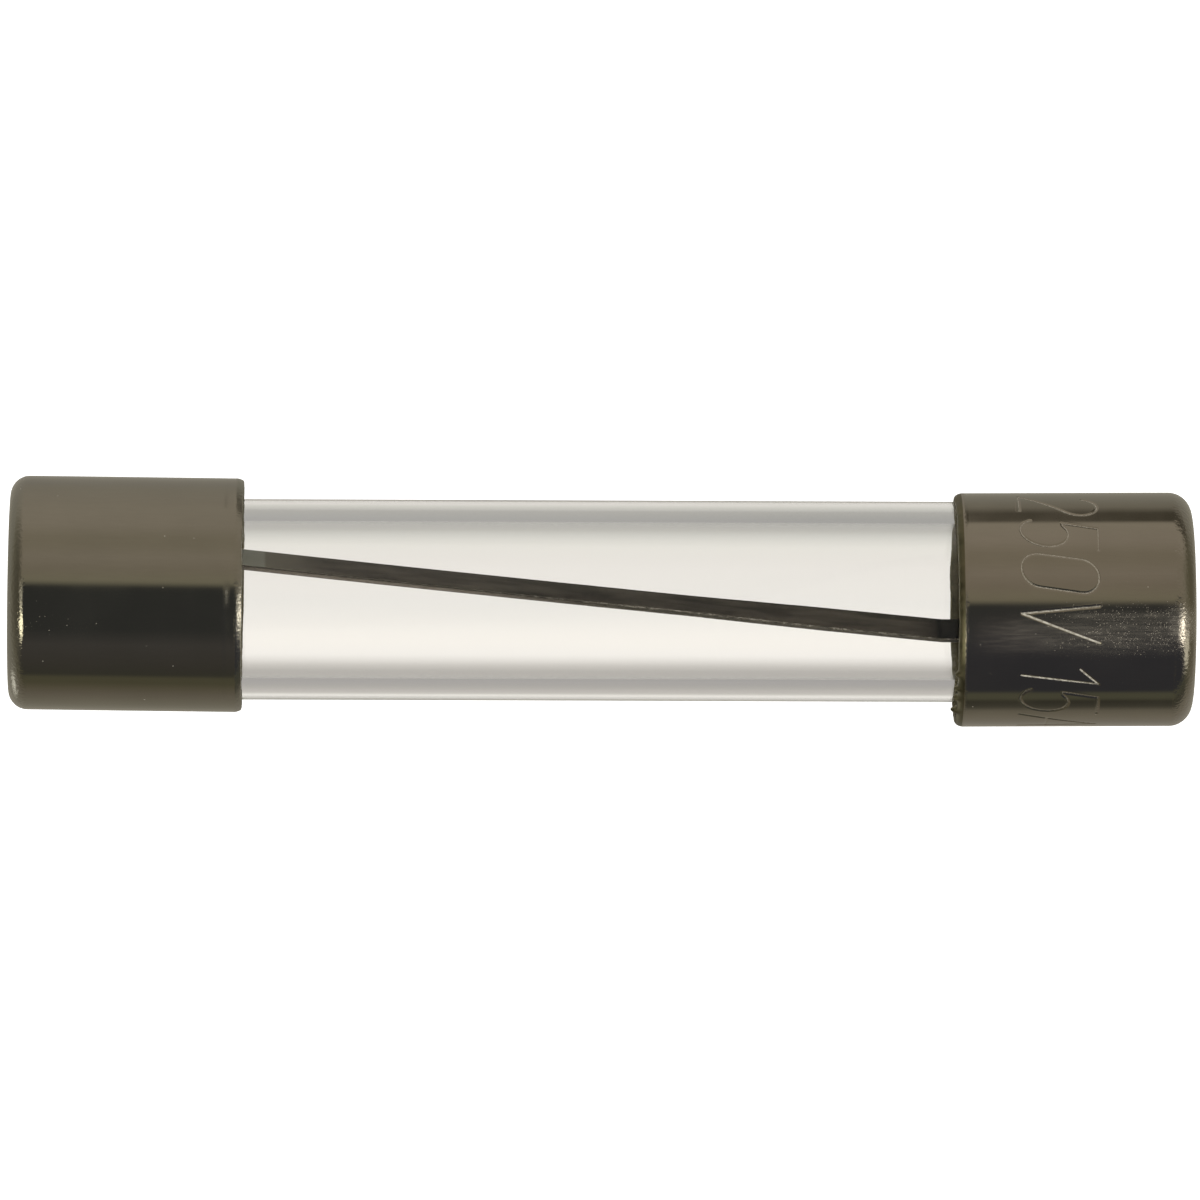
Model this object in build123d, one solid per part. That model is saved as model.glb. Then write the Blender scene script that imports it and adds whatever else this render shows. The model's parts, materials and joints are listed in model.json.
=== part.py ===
"""Glass cartridge fuse, 6.3 x 32 mm: a glass tube between two metal end caps, with a diagonal strip inside.

Frame: millimetres, the fuse lying on its side. The glass tube's axis is X and its middle is the
origin. +Z is up, and the undersides of both caps are level. Each cap sits a little to one side of
the tube's axis, in Y, because the strip's tail takes up room between the glass and the cap.
"""

from build123d import *
import math
import os

# Whole fuse: the length is that with two caps like the left one
OVERALL_LENGTH = 31.8
CAP_DIAMETER = 6.3

# Drawn end caps
LEFT_CAP_LENGTH = 6.28
RIGHT_CAP_LENGTH = 6.39
CAP_WALL = 0.22
CAP_END_WALL = 0.35
LEFT_CAP_CORNER_RADIUS = 0.52
RIGHT_CAP_CORNER_RADIUS = 0.62
CAP_INNER_CORNER_RADIUS = 0.2
CAP_MOUTH_ROUNDING = 0.05
LEFT_CAP_OFFSET = 0.136
LEFT_CAP_TILT = -0.54
RIGHT_CAP_OFFSET = -0.197
RIGHT_CAP_TILT = 0.39

# Glass tube, fire polished at both ends
TUBE_DIAMETER = 5.4
TUBE_BORE = 4.25
TUBE_LENGTH = 30.4
TUBE_POLISH_RADIUS = 0.2

# Fuse strip: it crosses the bore from corner to corner and hooks over both ends of the glass
STRIP_WIDTH = 0.8
STRIP_THICKNESS = 0.15
STRIP_ROLL = 36
STRIP_SHIFT = -0.18
STRIP_RISE = 1.857
STRIP_CLEARANCE = 0.02
STRIP_TAIL = 1.3
STRIP_TAIL_BEND = 0.15
STRIP_KINK_AT = 9.25
STRIP_KINK_RUN = 1.2
STRIP_KINK_BEND = 0.3

# Solder in the closed ends, and cement between glass and cap
SOLDER_DEPTH = 1.05
SOLDER_COLLAR_DEPTH = 0.9
SOLDER_DISH_RADIUS = 5.0
CEMENT_FROM_MOUTH = 0.6
CEMENT_LENGTH = 3.2

# Worked out from the sizes above
CAP_RADIUS = CAP_DIAMETER / 2
CAP_BORE_RADIUS = CAP_RADIUS - CAP_WALL
TUBE_RADIUS = TUBE_DIAMETER / 2
BORE_RADIUS = TUBE_BORE / 2
HALF_LENGTH = OVERALL_LENGTH / 2
HALF_TUBE = TUBE_LENGTH / 2
CAP_CENTRE = HALF_LENGTH - LEFT_CAP_LENGTH / 2


def rod(radius, length):
    """A solid cylinder along X, centred on the origin."""
    return Rotation(0, 90, 0) * Cylinder(radius, length)


def round_edges_at(shape, x):
    """The round edges of a turned shape that lie in the plane X = x."""
    same_plane = 1e-4
    return [e for e in shape.edges().filter_by(GeomType.CIRCLE) if abs(e.center().X - x) < same_plane]


def cap_outside(length, corner_radius):
    """The cap's outer form, closed end at +X, rounded there and broken at the mouth."""
    blank = rod(CAP_RADIUS, length)
    blank = fillet(round_edges_at(blank, length / 2), corner_radius)
    return fillet(round_edges_at(blank, -length / 2), CAP_MOUTH_ROUNDING)


def cap_hollow(length):
    """The space inside the cap, with its rounded inner corner."""
    hollow = Pos(-CAP_END_WALL / 2, 0, 0) * rod(CAP_BORE_RADIUS, length - CAP_END_WALL)
    return fillet(round_edges_at(hollow, length / 2 - CAP_END_WALL), CAP_INNER_CORNER_RADIUS)


def glass_tube():
    """The glass body, with all four end edges rounded by the flame."""
    tube = rod(TUBE_RADIUS, TUBE_LENGTH) - rod(BORE_RADIUS, TUBE_LENGTH)
    ends = round_edges_at(tube, HALF_TUBE) + round_edges_at(tube, -HALF_TUBE)
    return fillet(ends, TUBE_POLISH_RADIUS)


def strip_path():
    """The strip's middle line, from the left tail to the right tail, drawn flat in X and Y."""
    half_thickness = STRIP_THICKNESS / 2
    end_x = HALF_TUBE + STRIP_CLEARANCE + half_thickness
    outer_y = TUBE_RADIUS + STRIP_CLEARANCE + half_thickness
    kink_y = -STRIP_RISE * STRIP_KINK_AT / end_x
    glass_bend = TUBE_POLISH_RADIUS + STRIP_CLEARANCE + half_thickness
    points = [
        (-end_x + STRIP_TAIL, outer_y),
        (-end_x, outer_y),
        (-end_x, STRIP_RISE),
        (STRIP_KINK_AT, kink_y),
        (STRIP_KINK_AT + STRIP_KINK_RUN, kink_y),
        (end_x, -STRIP_RISE),
        (end_x, -outer_y),
        (end_x - STRIP_TAIL, -outer_y),
    ]
    bends = [
        STRIP_TAIL_BEND,
        glass_bend,
        STRIP_KINK_BEND,
        STRIP_KINK_BEND,
        glass_bend,
        STRIP_TAIL_BEND,
    ]
    return FilletPolyline(*points, radius=bends)


def fuse_element():
    """The flat strip, rolled about the tube's axis so that its left end is the higher one."""
    section = trace(strip_path(), STRIP_THICKNESS)
    flat = extrude(section, STRIP_WIDTH / 2, both=True)
    return Rotation(STRIP_ROLL, 0, 0) * Pos(0, 0, STRIP_SHIFT) * flat


def between(one_x, other_x):
    """A slab right across the fuse between two places along X."""
    width = 2 * CAP_DIAMETER
    return Pos((one_x + other_x) / 2, 0, 0) * Box(abs(one_x - other_x), width, width)


def largest(shape):
    """The largest solid of a shape, without any crumb that a cut leaves."""
    return max(shape.solids(), key=lambda solid: solid.volume)


def solder_fill(hollow, tube, element, side):
    """Solder in one closed end: a dished plug in the bore and a collar around the glass."""
    collar = hollow & between(side * (HALF_TUBE - SOLDER_COLLAR_DEPTH), side * HALF_LENGTH)
    collar = collar - rod(BORE_RADIUS, TUBE_LENGTH)
    plug = Pos(side * (HALF_TUBE - SOLDER_DEPTH), 0, 0) * rod(BORE_RADIUS, 2 * SOLDER_DEPTH)
    rim_to_centre = math.sqrt(SOLDER_DISH_RADIUS**2 - BORE_RADIUS**2)
    dish_centre = HALF_TUBE - SOLDER_DEPTH - rim_to_centre
    plug = plug - Pos(side * dish_centre, 0, 0) * Sphere(SOLDER_DISH_RADIUS)
    return largest(collar + plug - tube - element)


def cement_ring(hollow, tube, side):
    """Cement in the narrow gap between the glass and the cap, set back from the mouth."""
    start = HALF_LENGTH - LEFT_CAP_LENGTH + CEMENT_FROM_MOUTH
    ring = hollow & between(side * start, side * (start + CEMENT_LENGTH))
    return largest(ring - rod(TUBE_RADIUS, TUBE_LENGTH) - tube)


def main():
    left = Pos(-CAP_CENTRE, LEFT_CAP_OFFSET, 0) * Rotation(0, 0, 180 + LEFT_CAP_TILT)
    right = Pos(CAP_CENTRE, RIGHT_CAP_OFFSET, 0) * Rotation(0, 0, RIGHT_CAP_TILT)
    tube = glass_tube()
    element = fuse_element()
    nodes = {"glass_tube": tube, "fuse_element": element}
    caps = (
        (-1, "left", left, LEFT_CAP_LENGTH, LEFT_CAP_CORNER_RADIUS),
        (1, "right", right, RIGHT_CAP_LENGTH, RIGHT_CAP_CORNER_RADIUS),
    )
    for side, name, place, length, corner_radius in caps:
        hollow = place * cap_hollow(length)
        nodes[f"end_cap_{name}"] = place * cap_outside(length, corner_radius) - hollow
        nodes[f"solder_fill_{name}"] = solder_fill(hollow, tube, element, side)
        nodes[f"cement_ring_{name}"] = cement_ring(hollow, tube, side)

    os.makedirs("parts", exist_ok=True)
    for name, shape in nodes.items():
        export_step(Compound(children=shape.solids()), f"parts/{name}.step")


main()
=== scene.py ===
import json
import math

import bmesh
import bpy
import numpy as np
from mathutils import Matrix, Vector, noise


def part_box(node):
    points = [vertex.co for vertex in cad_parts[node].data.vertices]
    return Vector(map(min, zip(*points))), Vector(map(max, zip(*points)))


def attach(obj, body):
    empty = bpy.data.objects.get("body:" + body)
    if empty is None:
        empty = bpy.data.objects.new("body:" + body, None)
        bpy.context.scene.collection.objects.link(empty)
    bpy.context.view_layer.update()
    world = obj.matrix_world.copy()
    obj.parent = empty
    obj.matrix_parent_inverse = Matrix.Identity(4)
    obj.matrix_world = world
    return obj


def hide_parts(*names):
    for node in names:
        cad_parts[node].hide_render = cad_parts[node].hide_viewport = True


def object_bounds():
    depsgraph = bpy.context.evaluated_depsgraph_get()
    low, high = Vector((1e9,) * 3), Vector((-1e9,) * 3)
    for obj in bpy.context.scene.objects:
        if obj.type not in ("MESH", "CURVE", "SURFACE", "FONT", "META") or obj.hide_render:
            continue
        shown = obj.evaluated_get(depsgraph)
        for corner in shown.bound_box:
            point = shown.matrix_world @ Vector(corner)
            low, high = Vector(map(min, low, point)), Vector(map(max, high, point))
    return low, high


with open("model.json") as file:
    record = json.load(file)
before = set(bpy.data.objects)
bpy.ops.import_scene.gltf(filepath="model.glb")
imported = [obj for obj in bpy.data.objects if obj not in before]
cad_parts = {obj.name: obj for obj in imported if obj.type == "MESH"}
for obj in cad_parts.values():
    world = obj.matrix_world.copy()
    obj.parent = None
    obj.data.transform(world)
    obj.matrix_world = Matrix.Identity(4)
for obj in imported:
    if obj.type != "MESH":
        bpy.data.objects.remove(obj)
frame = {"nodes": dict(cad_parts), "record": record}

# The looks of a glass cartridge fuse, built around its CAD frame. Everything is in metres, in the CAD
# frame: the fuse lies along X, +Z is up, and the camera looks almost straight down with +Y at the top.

CAD_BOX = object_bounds()
MM = 0.001
MICRON = 0.000001

MOUNTS = {m["name"]: m for m in frame["record"]["mounts"]}
FLOOR_Z = CAD_BOX[0].z
TUBE_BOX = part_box("glass_tube")
TUBE_RADIUS = TUBE_BOX[1].z
TUBE_END = TUBE_BOX[1].x
CAP_LENGTH = {"left": 6.28 * MM, "right": 6.39 * MM}
CAP_RADIUS = MOUNTS["contact_right"]["dims"]["r_mm"] * MM

# End caps
CAP_WALL = 0.22 * MM
CAP_END_WALL = 0.35 * MM
CAP_CORNER = {"left": 0.52 * MM, "right": 0.62 * MM}
CAP_INNER_CORNER = 0.2 * MM
DISH_DEPTH = 14 * MICRON
# Each mouth's outer edge: a rounding this long and this deep, and on the left a worn bevel behind it
CAP_MOUTH_LENGTH = {"left": 0.03 * MM, "right": 0.23 * MM}
CAP_MOUTH_DEPTH = {"left": 0.03 * MM, "right": 0.15 * MM}
CAP_BEVEL_DEPTH = {"left": 0.054 * MM, "right": 0.0}
CAP_BEVEL_LENGTH = 0.17 * MM
CAP_LIP_ROUNDING = 0.04 * MM

GROOVE_FROM_MOUTH = 0.41 * MM
GROOVE_HALF_WIDTH = 0.12 * MM
# How strongly the groove is marked, at angles around the cap in degrees: a duller polish, and above about
# half a pale painted highlight, on a short stretch near the top
GROOVE_DULL_AND_HIGHLIGHT = ((-8, -4, 2, 9), (0.1, 0.56, 0.62, 0.1))

# Nearer the fuse's middle than this, the plating is rubbed. The last rings of a mouth's rounding get the
# bore's dark finish as painted shade, so that no bright highlight shows on them
CAP_RIM_X = 9.76 * MM
SHADED_EDGE_RINGS = {"left": 5, "right": 11}

# Wear around the mouths: how far in it reaches, and the size and depth of fine dents and of a slow waver
WEAR_REACH = 0.2 * MM
DENT_SIZE = 0.07 * MM
DENT_LENGTH = 12 * MICRON
DENT_DEPTH = 11 * MICRON
WAVER_SIZE = 0.9 * MM
WAVER_LENGTH = 22 * MICRON

# Burrs on the right cap's mouth: where around it and how wide in degrees, and how far out in mm
BURRS = ((-35, 1.5, 0.09), (-44, 1.1, 0.10), (-51, 1.3, 0.12), (-63, 2.0, 0.16))
BURR_ROOT = 0.12 * MM

# How far apart the rings of a cap's mesh are: inside, outside, near the mouth and under the stamp
INSIDE_STEP = 0.6 * MM
OUTSIDE_STEP = 0.3 * MM
MOUTH_STEP = 0.03 * MM
STAMP_STEP = 0.025 * MM
MOUTH_STRETCH = 1.0 * MM

# Bare glass
GLASS_WAVE = 2.5 * MICRON
GLASS_WAVE_SIZE = 1.1 * MM
TUBE_POLISH = 0.2 * MM
TUBE_STEP = 0.75 * MM
TUBE_SIDES = 512

# Strip, as in the CAD: rolled about the tube's axis, set to one side, and kinked near the right cap.
# Only the look has the twist, whose four places are where it starts, is full, starts to fade and is gone
STRIP_WIDTH = 0.8 * MM
STRIP_THICKNESS = 0.15 * MM
STRIP_ROLL = math.radians(36)
STRIP_SHIFT = -0.18 * MM
STRIP_RISE = 1.857 * MM
STRIP_CLEARANCE = 0.02 * MM
STRIP_TAIL = 1.3 * MM
STRIP_TAIL_BEND = 0.15 * MM
STRIP_KINK_AT = 9.25 * MM
STRIP_KINK_RUN = 1.2 * MM
STRIP_KINK_BEND = 0.3 * MM
STRIP_TWIST = math.radians(7)
STRIP_TWIST_AT = (2.5 * MM, 6 * MM, 10.4 * MM, 13 * MM)
STRIP_CORNER = 0.03 * MM
STRIP_GRAIN = 2.5 * MICRON
STRIP_GRAIN_SIZE = 0.5 * MM
STRIP_STEP = 0.12 * MM
STRIP_ROW = 0.11 * MM
FACE_SLOT, CORNER_SLOT, CUT_SLOT = 0, 1, 2
# Where the strip's pale painted reflection near its left end gives way to a fading one, and where the black
# painted shade at its right end starts
STRIP_REFLECTION_END = -9.02 * MM
STRIP_SHADE_START = 9.05 * MM

# Stamped rating, a generic one. Its slant and gaps are in letter heights
RATING = "250V 15A"
LETTER_HEIGHT = 2.08 * MM
LETTER_FOOT_X = 11.24 * MM
LETTER_SLANT = 0.15
LETTER_GAP = 0.135
FIRST_LETTER_ANGLE = math.radians(72)
STROKE_HALF_WIDTH = 0.042 * MM
STROKE_DEPTH = 0.016 * MM
# How full of pale residue the stamped strokes are, at angles around the cap in degrees: fullest on the dark
# -Y side, where the residue is partly a painted highlight
STROKE_FILL_AND_HIGHLIGHT = ((-60, -42, -36, -4, 2, 30), (0.55, 0.6, 1.0, 1.0, 0.72, 0.66))


# ---------------------------------------------------------------- mesh tools


def arc(centre_s, centre_r, radius, start, end, steps):
    """Points of a profile's rounding, from one angle to another in degrees."""
    turns = np.radians(np.linspace(start, end, steps + 1))
    return [(centre_s + radius * math.cos(t), centre_r + radius * math.sin(t)) for t in turns]


def run(start, end, step):
    """Points of a profile's straight stretch, without its first, no further apart than step."""
    count = max(1, math.ceil(math.dist(start, end) / step))
    start, end = np.array(start), np.array(end)
    return [tuple(start + (end - start) * i / count) for i in range(1, count + 1)]


def join_profile(*stretches):
    """One profile from several stretches, without points that repeat."""
    points = []
    for point in (p for stretch in stretches for p in stretch):
        if not points or math.dist(points[-1], point) > 0.1 * MICRON:
            points.append(point)
    return points


def ring_grid(rings, around, closed, first_pole=None, last_pole=None):
    """Faces between rings of vertices, with a fan at each pole that is given."""
    faces = []
    rows = rings if closed else rings - 1
    for i in range(rows):
        a, b = i * around, ((i + 1) % rings) * around
        for j in range(around):
            k = (j + 1) % around
            faces.append((a + j, a + k, b + k, b + j))
    for pole, row, flip in ((first_pole, 0, True), (last_pole, rings - 1, False)):
        if pole is None:
            continue
        for j in range(around):
            a, b = row * around + j, row * around + (j + 1) % around
            faces.append((pole, b, a) if flip else (pole, a, b))
    return faces


def mesh_piece(name, vertices, faces, materials, face_slots=None, marks=None):
    """A smooth-shaded mesh object, normals facing out. marks goes on its points, for the material."""
    mesh = bpy.data.meshes.new(name)
    mesh.from_pydata([tuple(v) for v in vertices], [], faces)
    for material in materials:
        mesh.materials.append(material)
    if face_slots is not None:
        mesh.polygons.foreach_set("material_index", face_slots)
    work = bmesh.new()
    work.from_mesh(mesh)
    bmesh.ops.recalc_face_normals(work, faces=work.faces)
    work.to_mesh(mesh)
    work.free()
    if marks is not None:
        mesh.attributes.new("marks", "FLOAT", "POINT").data.foreach_set("value", marks)
    mesh.polygons.foreach_set("use_smooth", [True] * len(mesh.polygons))
    piece = bpy.data.objects.new(name, mesh)
    bpy.context.scene.collection.objects.link(piece)
    return piece


def wave(x, y, z, scale):
    """Smooth noise from -1 to 1 at a point, with features about as large as scale."""
    return noise.noise(Vector((x, y, z)) / scale)


# ---------------------------------------------------------------- material tools


def new_material(name):
    """A node material with a Principled shader: (material, its nodes, its links, the shader)."""
    material = bpy.data.materials.new(name)
    material.use_nodes = True
    nodes, links = material.node_tree.nodes, material.node_tree.links
    return material, nodes, links, nodes["Principled BSDF"]


def place(nodes, links, stretch=(1, 1, 1)):
    """Object coordinates, stretched, for the textures of a material."""
    coordinates = nodes.new("ShaderNodeTexCoord")
    mapping = nodes.new("ShaderNodeMapping")
    mapping.inputs["Scale"].default_value = stretch
    links.new(coordinates.outputs["Object"], mapping.inputs["Vector"])
    return mapping.outputs["Vector"]


def split(nodes, links, vector):
    """A vector's X, Y and Z sockets."""
    node = nodes.new("ShaderNodeSeparateXYZ")
    links.new(vector, node.inputs["Vector"])
    return node.outputs


def noise_value(nodes, links, vector, size, detail=2.0, roughness=0.5):
    """A noise texture whose features are about size metres across."""
    texture = nodes.new("ShaderNodeTexNoise")
    texture.inputs["Scale"].default_value = 1 / size
    texture.inputs["Detail"].default_value = detail
    texture.inputs["Roughness"].default_value = roughness
    links.new(vector, texture.inputs["Vector"])
    return texture.outputs["Fac"]


def ramp(nodes, links, value, stops):
    """A colour ramp over a value, with (position, colour) stops."""
    node = nodes.new("ShaderNodeValToRGB")
    elements = node.color_ramp.elements
    while len(elements) < len(stops):
        elements.new(0.5)
    for element, (position, colour) in zip(elements, stops):
        element.position = position
        element.color = (*colour, 1)
    links.new(value, node.inputs["Fac"])
    return node.outputs["Color"]


def math_node(nodes, links, operation, first, second=0.0, clamp=False):
    """One Math node of two inputs, each a socket or a number."""
    node = nodes.new("ShaderNodeMath")
    node.operation = operation
    node.use_clamp = clamp
    for socket, value in zip(node.inputs, (first, second)):
        if isinstance(value, (int, float)):
            socket.default_value = value
        else:
            links.new(value, socket)
    return node.outputs["Value"]


def product(nodes, links, *factors):
    """Factors multiplied together, each a socket or a number."""
    result = factors[0]
    for factor in factors[1:]:
        result = math_node(nodes, links, "MULTIPLY", result, factor)
    return result


def add_part(nodes, links, value, part, weight, clamp=False):
    """A value plus a weighted part."""
    return math_node(nodes, links, "ADD", value, product(nodes, links, part, weight), clamp)


def span(nodes, links, value, start, end, low=0.0, high=1.0, smooth=True):
    """The value from start to end as low to high, held there outside."""
    node = nodes.new("ShaderNodeMapRange")
    node.interpolation_type = "SMOOTHSTEP" if smooth else "LINEAR"
    for name, number in (("From Min", start), ("From Max", end), ("To Min", low), ("To Max", high)):
        node.inputs[name].default_value = number
    links.new(value, node.inputs["Value"])
    return node.outputs["Result"]


def mix_colours(nodes, links, factor, first, second, blend="MIX"):
    """Two colours mixed by a factor, each a socket, a colour or a number."""
    node = nodes.new("ShaderNodeMix")
    node.data_type = "RGBA"
    node.blend_type = blend
    sockets = [s for s in node.inputs if s.enabled]
    for socket, value in zip(sockets, (factor, first, second)):
        if isinstance(value, (int, float)):
            socket.default_value = value if socket.type == "VALUE" else (value, value, value, 1)
        elif isinstance(value, tuple):
            socket.default_value = (*value, 1)
        else:
            links.new(value, socket)
    return next(s for s in node.outputs if s.enabled)


def bump(nodes, links, shader, layers):
    """Bump layers on a shader, each (height socket, strength, depth in metres)."""
    normal = None
    for height, strength, depth in layers:
        node = nodes.new("ShaderNodeBump")
        node.inputs["Strength"].default_value = strength
        node.inputs["Distance"].default_value = depth
        links.new(height, node.inputs["Height"])
        if normal is not None:
            links.new(normal, node.inputs["Normal"])
        normal = node.outputs["Normal"]
    links.new(normal, shader.inputs["Normal"])


# ---------------------------------------------------------------- materials


def box_mask(nodes, links, position, patch):
    """1 inside a patch and 0 outside, with soft edges, and only on the camera's side of the fuse."""
    middle, half, fade = patch
    mask = span(nodes, links, position["Z"], 0.0, 1.0 * MM)
    for axis, at, reach, edge in zip("XY", middle, half, fade):
        offset = math_node(nodes, links, "SUBTRACT", position[axis], at)
        away = math_node(nodes, links, "ABSOLUTE", offset)
        side = span(nodes, links, away, reach - edge, reach + edge, 1.0, 0.0)
        mask = product(nodes, links, mask, side)
    return mask


def speck_cells(nodes, links, vector, size, chance):
    """Small specks, mostly faint, in cells of a given size. chance is the share of cells that have one."""
    cells = nodes.new("ShaderNodeTexVoronoi")
    cells.inputs["Scale"].default_value = 1 / size
    links.new(vector, cells.inputs["Vector"])
    pit = span(nodes, links, cells.outputs["Distance"], 0.1, 0.45, 1.0, 0.0)
    pick = nodes.new("ShaderNodeSeparateColor")
    links.new(cells.outputs["Color"], pick.inputs["Color"])
    chosen = math_node(nodes, links, "LESS_THAN", pick.outputs["Green"], chance)
    strength = span(nodes, links, pick.outputs["Blue"], 0.0, 1.0, 0.15, 1.0)
    return product(nodes, links, pit, chosen, strength)


def cap_material(name, tone, bend, hazy, specked, density):
    """Nickel plate: faint drawing lines, uneven polish, hazy patches, a specked one, and worn edges.

    bend is how far out along X the rounded end starts. A patch is a middle, half size and fade, each as
    (X, Y) on the camera's side. hazy has (patch, strength) pairs. density is how crowded the specks are."""
    material, nodes, links, shader = new_material(name)
    plain = place(nodes, links)
    drawn = place(nodes, links, stretch=(0.06, 1, 1))
    position = split(nodes, links, plain)
    lighter, darker, darkest = (tuple(share * c for c in tone) for share in (1.04, 0.97, 0.85))

    cloud = noise_value(nodes, links, plain, 1.6 * MM, detail=3)
    lines = noise_value(nodes, links, drawn, 0.05 * MM, detail=4, roughness=0.6)
    grain = noise_value(nodes, links, plain, 0.03 * MM, detail=2)
    base = ramp(nodes, links, cloud, [(0.3, darker), (0.7, lighter)])
    faint = span(nodes, links, lines, 0.35, 0.75, 0.0, 0.2)
    base = mix_colours(nodes, links, faint, base, darkest)

    # Rare specks anywhere and crowds of them in their patch, a streaky haze, and dimples on both edges
    out = math_node(nodes, links, "ABSOLUTE", position["X"])
    bent = span(nodes, links, out, bend, bend + 0.12 * MM)
    rim = span(nodes, links, out, CAP_RIM_X, CAP_RIM_X + 0.1 * MM, 1.0, 0.0)
    worn = math_node(nodes, links, "MAXIMUM", bent, rim)
    clumps = span(nodes, links, noise_value(nodes, links, plain, 0.3 * MM, detail=3), 0.32, 0.62)
    patch = box_mask(nodes, links, position, specked)
    crowded = product(nodes, links, patch, clumps, density)
    rare = speck_cells(nodes, links, plain, 0.06 * MM, 0.0015)
    common = speck_cells(nodes, links, plain, 0.034 * MM, crowded)
    specks = math_node(nodes, links, "MAXIMUM", rare, common)
    streaks = span(nodes, links, lines, 0.35, 0.7, 0.35, 1.0)
    haze = 0.0
    for hazy_patch, strength in hazy:
        share = product(nodes, links, box_mask(nodes, links, position, hazy_patch), strength)
        haze = math_node(nodes, links, "MAXIMUM", haze, share)
    dimples = product(nodes, links, noise_value(nodes, links, plain, 0.09 * MM, detail=3), worn)

    # Stamped strokes hold a pale residue, partly a painted highlight; the burnished groove has a duller
    # polish, with a pale painted highlight on a short stretch near the top
    stamp = nodes.new("ShaderNodeAttribute")
    stamp.attribute_name = "marks"
    marked = stamp.outputs["Fac"]
    crumbs = span(nodes, links, noise_value(nodes, links, plain, 0.07 * MM, detail=3), 0.36, 0.6, 0.45, 1.0)
    residue_and_highlight = product(nodes, links, span(nodes, links, marked, 0.45, 0.95), crumbs)
    dull = product(nodes, links, haze, streaks)
    dull = add_part(nodes, links, dull, specks, 0.7)
    dull = add_part(nodes, links, dull, residue_and_highlight, 0.9, clamp=True)
    rough = span(nodes, links, cloud, 0.3, 0.7, 0.085, 0.125)
    for wear, weight in ((specks, 0.12), (marked, 0.28), (rim, 0.13)):
        rough = add_part(nodes, links, rough, wear, weight)

    links.new(mix_colours(nodes, links, residue_and_highlight, base, (0.64, 0.60, 0.51)), shader.inputs["Base Color"])
    links.new(math_node(nodes, links, "SUBTRACT", 1.0, dull), shader.inputs["Metallic"])
    links.new(rough, shader.inputs["Roughness"])
    bump(nodes, links, shader, [
        (lines, 0.3, 0.3 * MICRON),
        (grain, 0.3, 0.12 * MICRON),
        (specks, 1.0, 2.0 * MICRON),
        (dimples, 1.0, 12.0 * MICRON),
    ])
    return material


def bore_and_lip_shade_material():
    """The inside of a cap: bare, dull and darkened metal, also put on a mouth's last rings as painted
    shade.
    """
    material, nodes, links, shader = new_material("cap_bore")
    shader.inputs["Metallic"].default_value = 1.0
    plain = place(nodes, links)
    stain = noise_value(nodes, links, plain, 0.35 * MM, detail=4)
    base = ramp(nodes, links, stain, [(0.3, (0.15, 0.138, 0.085)), (0.7, (0.26, 0.235, 0.15))])
    links.new(base, shader.inputs["Base Color"])
    links.new(span(nodes, links, stain, 0.3, 0.7, 0.35, 0.5), shader.inputs["Roughness"])
    bump(nodes, links, shader, [(stain, 0.5, 3 * MICRON)])
    return material


def glass_material():
    """Clear soda glass with a trace of handling on its surface."""
    material, nodes, links, shader = new_material("clear_glass")
    shader.inputs["Base Color"].default_value = (0.99, 0.99, 0.988, 1)
    shader.inputs["Transmission Weight"].default_value = 1.0
    shader.inputs["IOR"].default_value = 1.5
    plain = place(nodes, links)
    smear = noise_value(nodes, links, plain, 2.2 * MM, detail=4)
    links.new(span(nodes, links, smear, 0.45, 0.8, 0.0, 0.035), shader.inputs["Roughness"])
    drawn = place(nodes, links, stretch=(0.03, 1, 1))
    bump(nodes, links, shader, [(noise_value(nodes, links, drawn, 0.7 * MM, detail=1), 0.4, 1.2 * MICRON)])
    return material


def strip_face_material():
    """The strip's tarnished faces: dark and cloudy, paler near the left end as a painted reflection, and
    black at the right end as painted shade.
    """
    material, nodes, links, shader = new_material("strip_face")
    shader.inputs["Metallic"].default_value = 1.0
    cloud = noise_value(nodes, links, place(nodes, links, stretch=(0.12, 1, 1)), 0.3 * MM, detail=3)
    streak = noise_value(nodes, links, place(nodes, links, stretch=(0.05, 1, 1)), 0.06 * MM, detail=3)
    x = split(nodes, links, place(nodes, links))["X"]
    base = ramp(nodes, links, cloud, [(0.36, (0.040, 0.034, 0.025)), (0.64, (0.095, 0.082, 0.062))])
    # Paler towards the left end, a painted reflection: grey beyond its edge, then fading over 2 mm inwards
    reflection_fade = span(nodes, links, x, STRIP_REFLECTION_END, STRIP_REFLECTION_END + 2.0 * MM, 0.85, 0.0)
    base = mix_colours(nodes, links, reflection_fade, base, (0.17, 0.155, 0.115))
    pale_reflection = span(nodes, links, x, STRIP_REFLECTION_END - 0.05 * MM, STRIP_REFLECTION_END + 0.05 * MM, 1.0, 0.0)
    base = mix_colours(nodes, links, pale_reflection, base, (0.245, 0.245, 0.195))
    # Black at the right end: painted shade near the right cap's mouth
    end_shade = span(nodes, links, x, STRIP_SHADE_START, STRIP_SHADE_START + 0.15 * MM)
    base = mix_colours(nodes, links, end_shade, base, (0.014, 0.013, 0.010))
    links.new(base, shader.inputs["Base Color"])
    links.new(span(nodes, links, cloud, 0.3, 0.7, 0.28, 0.4), shader.inputs["Roughness"])
    bump(nodes, links, shader, [(streak, 0.4, 0.8 * MICRON), (cloud, 0.5, 2 * MICRON)])
    return material


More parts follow.
